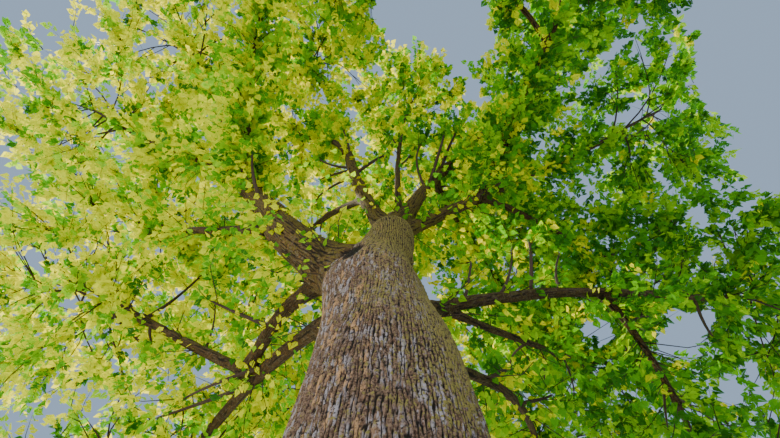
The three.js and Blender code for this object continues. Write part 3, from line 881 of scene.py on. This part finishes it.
def mass_spaces():
    """The space of each mass: a flattened ball past the tip of its bough, as the solids have it."""
    spaces = []
    for bough in boughs.values():
        if bough["mass"]:
            way = heading(bough["curve"], 1.0)
            tip = bough["curve"][2]
            middle = tip + STAND_OFF * bough["mass"] * way
            spaces.append({**bough, "way": way, "tip": tip, "middle": middle, "seed": len(spaces) + 1})
    return spaces


spaces = mass_spaces()
all_middles = np.array([space["middle"] for space in spaces])
all_radii = np.array([space["mass"] for space in spaces])


def in_space(points, place, rim=1.0, clear=LEAF_CLEAR):
    """Whether points are inside a mass's rim and nearer to its middle than to any other's, by weight.

    The weight of a distance is its square less the square of the mass's radius.
    """
    from_middle = points - all_middles[place]
    flattened = from_middle / np.array([1, 1, FLATNESS])
    inside = np.linalg.norm(flattened, axis=-1) < rim * all_radii[place]
    weights = ((points[..., None, :] - all_middles) ** 2).sum(-1) - all_radii**2
    apart = 2 * np.linalg.norm(all_middles - all_middles[place], axis=1)
    apart[place] = 1
    past = (weights - weights[..., place : place + 1]) / apart
    past[..., place] = 9
    return inside & (past.min(axis=-1) > clear)


def tubes(starts, holds, ends, base, tip, sides, steps):
    """Tapering tubes along many curves at once, as places and faces, each closed by a pole at its tip.

    Rings stand across each curve at even parameters, and their radius falls evenly from base to tip.
    """
    share = np.linspace(0, 1, steps + 1)
    curves = many((starts, holds, ends))
    middles, ahead = on_curve(curves, share), heading(curves, share)
    helper = np.where(np.abs(ahead[:, :1, 2:]) > 0.9, [1.0, 0, 0], [0, 0, 1.0])
    side = unit(np.cross(ahead, helper))
    up = np.cross(ahead, side)
    angle = 2 * math.pi * np.arange(sides) / sides
    ring = side[:, :, None] * np.cos(angle)[:, None] + up[:, :, None] * np.sin(angle)[:, None]
    radius = base[:, None] + (tip - base)[:, None] * share
    rings = middles[:, :, None] + ring * radius[:, :, None, None]
    count = len(starts)
    body = rings[:, :steps].reshape(count, steps * sides, 3)
    places = np.concatenate([body, middles[:, -1:]], axis=1)
    each = steps * sides + 1
    index, beside, walls = ring_walls(steps, sides)
    top = np.stack([index[-1], beside[-1], np.full(sides, each - 1)], axis=-1)
    foot = np.array([[0, i + 1, i] for i in range(1, sides - 1)])
    shift = (np.arange(count) * each)[:, None, None]
    quads, *fans = ((part[None] + shift).reshape(-1, part.shape[1]) for part in (walls, top, foot))
    return places.reshape(-1, 3), quads, np.concatenate(fans)


# A leaf's corners along and beside its midrib, in blade lengths: its stalk, then its heart-shaped blade.
STALK = 0.3
LEAF_ALONG = np.array([-STALK, 0.08, 0.08, -0.04, 0.32, 1, 0.32, -0.04])
LEAF_BESIDE = np.array([0, 0.03, -0.03, 0.27, 0.48, 0, -0.48, -0.27])
LEAF_FACES = np.array([[0, 2, 1], [1, 4, 3], [1, 5, 4], [2, 6, 5], [2, 7, 6]])
LEAF_FOLD = 0.24  # how much a blade's sides rise from its midrib
LEAF_CURL = 0.2  # how much its tip hangs
FOLD_RANGE = (0.2, 1.6)  # from one leaf to the next
CURL_RANGE = (0.3, 1.7)


def leaf_size(places):
    """How long a blade is at some places, read from the table of sizes by distance from the lens."""
    return np.interp(np.linalg.norm(places - CAMERA_PLACE, axis=-1), LEAF_FAR, LEAF_SIZES)


def leaves(roots, ahead, upward, size, rng):
    """Many leaves at once, as places and faces.

    A corner lies at its share of the leaf's length along the heading and to the side, raised by the fold
    and lowered by the curl, which grows with the square of the way to the tip.
    """
    side = unit(np.cross(upward, ahead))
    out = np.cross(ahead, side)
    fold = rng.uniform(*FOLD_RANGE, len(roots))[:, None] * LEAF_FOLD
    curl = rng.uniform(*CURL_RANGE, len(roots))[:, None] * LEAF_CURL
    lift = fold * np.abs(LEAF_BESIDE) - curl * np.maximum(LEAF_ALONG, 0) ** 2
    places = ahead[:, None] * (LEAF_ALONG + STALK)[:, None] + side[:, None] * LEAF_BESIDE[:, None]
    places = roots[:, None] + (places + out[:, None] * lift[..., None]) * size[:, None, None]
    shift = (np.arange(len(roots)) * len(LEAF_ALONG))[:, None, None]
    return places.reshape(-1, 3), (LEAF_FACES[None] + shift).reshape(-1, 3)


def main_twigs(space, place):
    """A mass's stem, main twigs and side twigs as curves with radii, by the solids' rule carried on.

    The stem runs on from the bough's tip. Each main twig leaves it for its own point on a ball round the
    middle, spread by the golden angle, and bears side twigs. Each is shortened until it stays in the
    mass's space, and bends on its way.
    """
    radius, end = space["mass"], space["radii"][1]
    tip, way, reach = space["tip"], space["way"], STEM_REACH * radius
    rng = np.random.default_rng(SEED + place)
    bend = rng.uniform(-STEM_BEND, STEM_BEND, 3) * radius
    stem = (tip, tip + way * reach / 2 + bend, tip + way * reach)
    rows = [(*stem, end * STEM_SHARE, end * STEM_END)]
    (first_main, over), (first_side, step) = MAIN_ALONG, SIDE_ALONG

    def sprout(start, toward, thick, lean):
        """A twig's curve, at the first length tried whose end keeps to the mass's space."""
        for part in SHORTENED:
            stop = start + toward * part
            halfway = (start + stop) / 2
            if in_space(stop, place, TWIG_RIM, 0.0) and not in_gap(np.stack([stop, halfway])).any():
                span = np.linalg.norm(stop - start)
                bend = lean * span * 0.5 + rng.normal(0, TWIG_BEND, 3) * span
                rows.append((start, start + bend, stop, thick, thick * TWIG_TAPER))
                return rows[-1][:3]
        return None

    for i in range(MAIN_TWIGS):
        share = (i + 0.5) / MAIN_TWIGS
        height = 1 - 2 * ((i * GOLDEN_SHARE) % 1)
        ring = math.sqrt(1 - height * height)
        turn = i * GOLDEN_ANGLE + space["seed"]
        out = np.array([ring * math.cos(turn), ring * math.sin(turn), height * FLATNESS])
        start = on_curve(stem, first_main + over * share)
        toward = space["middle"] + out * TWIG_REACH * radius - start
        thick, side_thick = (end * (first - less * share) for first, less in (MAIN_THICK, SIDE_THICK))
        main = sprout(start, toward, thick, unit(0.8 * way + unit(toward)))
        if main is None:
            continue
        for side in range(SIDE_TWIGS):
            along = first_side + step * side
            ahead = heading(main, along)
            turned = unit(0.7 * ahead + unit(rng.normal(size=3)))
            side_way = turned * radius * rng.uniform(*SIDE_REACH)
            sprout(on_curve(main, along), side_way, side_thick, unit(ahead + turned))
    return [np.array(column) for column in zip(*rows)]


def attach(targets, curves, shares):
    """For each target, the place and heading on the curves that a shoot reaches it from.

    It is the sampled place at the least distance, where one that the shoot would leave backwards, or
    that is nearer than the shortest shoot, counts as further off.
    """
    places, ways = (part(many(curves), shares).reshape(-1, 3) for part in (on_curve, heading))
    toward = targets[:, None] - places[None]
    distance = np.linalg.norm(toward, axis=-1)
    forward = (toward * ways[None]).sum(-1) / np.maximum(distance, 1e-6)
    cost = distance * (SIDEWAYS - FORWARD * forward) + TOO_SHORT * np.maximum(0, SHORTEST - distance)
    best = cost.argmin(axis=1)
    return places[best], ways[best]


def shoot_targets(space, place, count, rng):
    """Where a mass's shoots end: an even scatter in its space, thinner towards its middle.

    The scatter takes steps of three fixed shares of its box, which never fall into rows. A ragged rim
    of slow waves bounds it.
    """
    steps = np.arange(1, 12 * count + 1)[:, None] * EVEN_STEPS
    inside = 2 * np.mod(steps + rng.random(3), 1) - 1
    far = np.linalg.norm(inside, axis=1)
    waves = np.sin(5 * inside[:, 0] + space["seed"]) * np.sin(6 * inside[:, 1] + 2 * space["seed"])
    kept = (far < 1 - RAGGED * (1 - waves)) & (rng.random(len(far)) < CORE + (1 - CORE) * far**1.5)
    points = space["middle"] + inside[kept] * np.array([1, 1, FLATNESS]) * space["mass"] * LEAF_RIM
    points = points[in_space(points, place)]
    if len(points) > count:
        points = points[np.sort(rng.choice(len(points), count, replace=False))]
    return points


# The camera's frame: what is ahead of it, to its right and above it
pitch, roll = math.radians(CAMERA_PITCH), math.radians(CAMERA_ROLL)
level_right = np.array([1.0, 0.0, 0.0])
camera_ahead = np.array([0.0, math.cos(pitch), math.sin(pitch)])
unrolled_up = np.cross(level_right, camera_ahead)
camera_right = level_right * math.cos(roll) + unrolled_up * math.sin(roll)
camera_up = unrolled_up * math.cos(roll) - level_right * math.sin(roll)


def in_photo(points):
    """Points as pixels of the photograph, by their slopes right and up of the way ahead."""
    from_lens = points - CAMERA_PLACE
    depth = from_lens @ camera_ahead
    depth = np.where(depth > 0.05, depth, np.nan)
    x = PHOTO_WIDTH / 2 + LENS_PIXELS * (from_lens @ camera_right) / depth
    y = PHOTO_HEIGHT / 2 - LENS_PIXELS * (from_lens @ camera_up) / depth
    return x, y


# Gaps through the crown in the photograph: x, y, half width and half height, in its pixels
GAPS = (
    (428, 14, 62, 20), (470, 36, 26, 16), (622, 118, 18, 9), (683, 332, 22, 18), (664, 346, 13, 15),
    (702, 318, 16, 9), (594, 328, 19, 8), (606, 336, 10, 9), (728, 392, 17, 15), (748, 366, 16, 8),
    (752, 60, 60, 70), (765, 150, 30, 40),
)


def in_gap(points):
    """Whether points would close a gap: inside one of the ovals, as the camera sees them."""
    x, y = in_photo(points)
    closing = np.zeros(len(points), bool)
    for centre_x, centre_y, half_x, half_y in GAPS:
        closing |= ((x - centre_x) / half_x) ** 2 + ((y - centre_y) / half_y) ** 2 < 1
    return closing


# The stretches of the limbs that the photograph shows bare, in shares of their length
BARE = {
    "trunk": (0.2, 1), "left_great": (0, 0.3), "left_middle": (0, 1), "left_low": (0, 0.92),
    "left_knee": (0, 1), "right_low": (0, 0.95), "right_slender": (0, 0.8), "right_lowest": (0, 0.95),
    "right_hanging": (0, 0.95), "upper_left": (0, 1), "upper_main": (0, 1), "upper_right": (0, 0.8),
    "top_crown": (0, 0.6), "far_left": (0, 0.5),
}
BARE_BRANCH = 0.85  # and of the side branches
BARE_MARGIN = 0.008  # how far beside them leaves still count as before them, in radians


def bare_stretches():
    """Places along the bare stretches, their distance from the lens and how wide they look there."""
    places, radii = [], []
    for name, (first, last) in BARE.items():
        share = np.linspace(first, last, 28)
        if name == "trunk":
            curve, wide = trunk_curve, trunk_radius(share * FORK_HEIGHT, 0.0)
        else:
            curve, wide = boughs[name]["curve"], bough_radius(boughs[name]["radii"], share)
        places.append(on_curve(curve, by_length(curve, share)))
        radii.append(wide)
    *curves, base = branches
    share = np.linspace(0, BARE_BRANCH, 14)
    places.append(on_curve(many(curves), share).reshape(-1, 3))
    radii.append(np.repeat(base, len(share)))
    places, radii = np.concatenate(places), np.concatenate(radii)
    far = np.linalg.norm(places - CAMERA_PLACE, axis=1)
    return unit(places - CAMERA_PLACE), far, radii / far + BARE_MARGIN


bare_ways, bare_far, bare_wide = bare_stretches()


def hides_limb(points):
    """Whether points stand before a bare stretch: nearer than it, and within its width of its bearing."""
    from_lens = points - CAMERA_PLACE
    far = np.linalg.norm(from_lens, axis=1, keepdims=True)
    close = (from_lens / far) @ bare_ways.T > np.cos(bare_wide)
    return (close & (far < bare_far)).any(axis=1)


def grow_shoots(targets, curves, shares, rng):
    """Leafy shoots to each target: their curves, from the nearest twig or bough, bending as they go."""
    starts, ways = attach(targets, curves, shares)
    span = np.linalg.norm(targets - starts, axis=1)
    lean = unit(ways * 0.8 + unit(targets - starts) + np.array([0, 0, 0.25]))
    bend = rng.normal(0, SHOOT_BEND, starts.shape) * span[:, None]
    holds = starts + lean * (SHOOT_HOLD * span)[:, None] + bend
    clear = ~in_gap(on_curve((starts, holds, targets), np.full(len(starts), 0.6)))
    return starts[clear], holds[clear], targets[clear], span[clear]


def leafy(starts, holds, ends, rng):
    """The leaves of shoots: left and right by turns along the outer part, each tilted a little."""
    order, sizes = np.arange(SHOOT_LEAVES), (len(starts), SHOOT_LEAVES)
    span = np.linalg.norm(ends - starts, axis=1)
    first = np.clip(1 - LEAFY_PART / np.maximum(span, 0.3), 0.1, 0.75)[:, None]
    share = first + (1 - first) * (order + rng.uniform(0, 1, sizes)) / SHOOT_LEAVES
    share = np.minimum(share, 0.99)
    curves = many((starts, holds, ends))
    roots, ways = on_curve(curves, share), heading(curves, share)
    flat = unit(np.cross(ways, [0, 0, 1.0]) + rng.normal(0, 0.3, (len(starts), 1, 3)))
    side = np.where(order % 2 == 0, 1.0, -1.0)[None, :, None]
    ahead = 0.5 * ways + flat * side + rng.normal(0, LEAF_SPREAD, roots.shape)
    ahead = unit(ahead - np.array([0, 0, LEAF_DROOP]))
    upward = np.array([0, 0, 1.0]) + rng.normal(0, 0.5, roots.shape)
    size = leaf_size(roots) * rng.uniform(*LEAF_RANGE, sizes)
    return roots.reshape(-1, 3), ahead.reshape(-1, 3), upward.reshape(-1, 3), size.ravel()


# The boughs whose growth goes into one set of pieces
REGIONS = {
    "left": "left_middle left_low left_knee left_bent left_outer left_crest left_top far_left",
    "right": (
        "upper_right right_low right_lowest right_slender right_outer right_hanging right_crest"
        " right_inner right_middle far_right crest_right"
    ),
    "back": "back_right back_left",
    "front": "left_great front_left front_right front_middle",
    "top": "upper_left upper_main top_right top_back top_crown top_left",
}
# How the sprays are dealt out among the tints, where the painted light is shade, half way and sun
TINT_SHARES = {
    "painted_sunlit": (0.02, 0.42, 0.6),
    "fresh": (0.3, 0.28, 0.2),
    "green": (0.4, 0.22, 0.16),
    "deep": (0.28, 0.08, 0.04),
}
PAINTED_SUNWARD = np.array([-0.1, 0.03, 0.03])  # how much more painted sun each metre gets: to the left, back and up, towards the key light
HALF_PAINTED_SUN = np.array([0, 0, 11.0])  # a place half way between painted shade and painted sun


def deal_tints(places, rng):
    """Each spray's tint: a random number set against the tints' summed shares at the shoot's place, which
    deal more of the painted sunlit tint to the sunny side and more of the deep painted-shade tint to the
    other.
    """
    painted_sun = np.clip(0.5 + (places - HALF_PAINTED_SUN) @ PAINTED_SUNWARD, 0, 1)
    shares = np.array([np.interp(painted_sun, (0, 0.5, 1), row) for row in TINT_SHARES.values()])
    return (rng.random((len(places), SPRAYS, 1)) > np.cumsum(shares, axis=0)[:-1].T[:, None]).sum(axis=2)


def join(parts):
    """Places and faces of several sets as one: each set's faces are moved past the places before it."""
    shift, places, faces = 0, [], []
    for part_places, *part_faces in parts:
        places.append(part_places)
        faces.append([group + shift for group in part_faces])
        shift += len(part_places)
    return np.concatenate(places), [np.concatenate(group) for group in zip(*faces)]


def in_the_open(targets, least):
    """Those of some targets that are so far outside every limb, and before no gap."""
    clear = np.all([gap_to_limb(targets, name) > least for name in ("trunk", *boughs)], axis=0)
    return targets[clear & ~in_gap(targets)]


def mass_growth(space, place, rng):
    """A mass's main twigs, and the shoots that fill its space from them."""
    *curves, base, tip = main_twigs(space, place)
    weight = all_radii**SIZE_POWER / leaf_size(all_middles) ** LEAF_POWER
    count = round(SHOOTS * weight[place] / weight.sum())
    targets = shoot_targets(space, place, count, rng)
    targets = targets[~in_gap(targets)]
    shoots = grow_shoots(targets, curves, np.linspace(0.15, 1, 9), rng)
    return tubes(*curves, base, tip, 5, 5), shoots


def limb_growth(bough, rng):
    """The shoots that grow straight from a bough: along its outer part, or along all of a bushy one."""
    curve, name = bough["curve"], bough["name"]
    count, first = (BUSHY[name], BUSHY_FROM) if name in BUSHY else (LIMB_SHOOTS, LEAFY_FROM)
    share = rng.uniform(first, 1.0, count)
    out = unit(rng.normal(size=(count, 3)) * np.array([1, 1, 0.7]) - np.array([0, 0, 0.3]))
    targets = on_curve(curve, share) + out * rng.uniform(*LIMB_REACH, count)[:, None]
    columns = tuple(point[None] for point in curve)
    return grow_shoots(in_the_open(targets, LIMB_CLEAR), columns, np.linspace(first, 1, 40), rng)


def branch_growth(names, rng):
    """The side branches of some boughs, and the shoots round their outer ends."""
    picked = np.isin(branch_owners, names)
    if not picked.any():
        return [], []
    starts, holds, ends, base = (column[picked] for column in branches)
    near = np.repeat(ends, BRANCH_SHOOTS, axis=0)
    targets = in_the_open(near + rng.normal(0, BRANCH_SPREAD, near.shape), BRANCH_CLEAR)
    shoots = grow_shoots(targets, (starts, holds, ends), np.linspace(0.4, 1, 8), rng)
    return [tubes(starts, holds, ends, base, base * BRANCH_TAPER, BRANCH_SIDES, 7)], [shoots]


def make_region(region, names):
    """One region's twigs as a piece, and its leaves as a piece to each tint."""
    rng = np.random.default_rng(SEED * 100 + len(names))
    twig_parts, shoot_parts = branch_growth(names, rng)
    masses = []
    for place, space in enumerate(spaces):
        if space["name"] in names:
            twigs, shoots = mass_growth(space, place, rng)
            twig_parts.append(twigs)
            shoot_parts.append(shoots)
            masses.append(f"{space['name']}_foliage")
    shoot_parts.extend(limb_growth(boughs[name], rng) for name in names)
    leaf_sets = {tint: [] for tint in TINT_SHARES}
    for starts, holds, ends, span in shoot_parts:
        thick = SHOOT_RADIUS + SHOOT_THICKER * np.clip(span, 0, 2)
        twig_parts.append(tubes(starts, holds, ends, thick, SHOOT_TAPER * thick, 3, 2))
        leaf_parts = leafy(starts, holds, ends, rng)
        roots, ahead, _, size = leaf_parts
        dealt = np.repeat(deal_tints(ends, rng), -(-SHOOT_LEAVES // SPRAYS), axis=1)
        dealt = dealt[:, :SHOOT_LEAVES].ravel()
        tips = roots + ahead * size[:, None]
        before = (hides_limb(roots) | hides_limb(tips)) & (rng.random(len(roots)) < STRIPPED)
        shown = ~(in_gap(roots) | before)
        for number, tint in enumerate(TINT_SHARES):
            some = shown & (dealt == number)
            leaf_sets[tint].append(leaves(*(part[some] for part in leaf_parts), rng))
    places, faces = join(twig_parts)
    piece = mesh_piece(f"twigs_{region}", places, faces, twig_bark)
    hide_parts(*masses)
    for tint, parts in leaf_sets.items():
        places, faces = join(parts)
        piece = mesh_piece(f"leaves_{region}_{tint}", places, faces, LEAF_TINTS[tint])
        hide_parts(*masses)


for region, names in REGIONS.items():
    make_region(region, names.split())


# The floor, the light and the camera

FLOOR_RADIUS = 60
FLOOR_SIDES = 96
FLOOR_DROP = 0.004  # so that the flat cut under the trunk shows no flicker


def make_floor():
    """A plain pale disc under the tree."""
    angle = np.linspace(0, 2 * math.pi, FLOOR_SIDES, endpoint=False)
    rim = [FLOOR_RADIUS * np.cos(angle), FLOOR_RADIUS * np.sin(angle), np.full(FLOOR_SIDES, -FLOOR_DROP)]
    mesh = bpy.data.meshes.new("floor")
    mesh.from_pydata(np.stack(rim, axis=-1).tolist(), [], [list(range(FLOOR_SIDES))])
    mesh.materials.append(matt("pale_floor", "#d9dad6", 0.9))
    floor = bpy.data.objects.new("floor", mesh)
    bpy.context.scene.collection.objects.link(floor)


def stand(name, data, right, up, place=(0, 0, 0)):
    """A lamp or a camera at its place, looking against the cross product of its right and up."""
    holder = bpy.data.objects.new(name, data)
    turned = Matrix(np.stack([right, up, np.cross(right, up)], axis=1).tolist()).to_4x4()
    turned.translation = place
    holder.matrix_world = turned
    bpy.context.scene.collection.objects.link(holder)
    return holder


def make_lamp(name, toward, strength, colour, softness):
    """A sun lamp that shines from a direction, with soft edges to its shadows."""
    lamp = bpy.data.lights.new(name, "SUN")
    lamp.energy = strength
    lamp.color = linear(colour)[:3]
    lamp.angle = math.radians(softness)
    side = unit(np.cross([0, 0, 1.0], toward))
    stand(name, lamp, side, np.cross(toward, side))


def make_light():
    """An even pale surround, a warm key from behind on the left, and a soft fill from the front."""
    world = bpy.data.worlds.new("pale_surround")
    world.use_nodes = True
    tree = world.node_tree
    tree.nodes.clear()
    surround = add(tree, "ShaderNodeBackground", {"Color": linear("#bcd8f8"), "Strength": 0.66})
    add(tree, "ShaderNodeOutputWorld", {"Surface": surround.outputs[0]})
    bpy.context.scene.world = world
    make_lamp("key", bearing(150, 52), strength=12, colour="#fff0d0", softness=5)
    make_lamp("fill", bearing(250, 20), strength=2.2, colour="#ffffff", softness=30)


def make_camera():
    """The camera where the photograph was taken from: a metre up, close to the bark, looking up."""
    camera = bpy.data.cameras.new("camera")
    camera.sensor_width = SENSOR
    camera.lens = SENSOR * LENS_PIXELS / PHOTO_WIDTH
    camera.clip_start = 0.05
    camera.clip_end = 400
    bpy.context.scene.camera = stand("camera", camera, camera_right, camera_up, CAMERA_PLACE)


make_floor()
make_light()
make_camera()
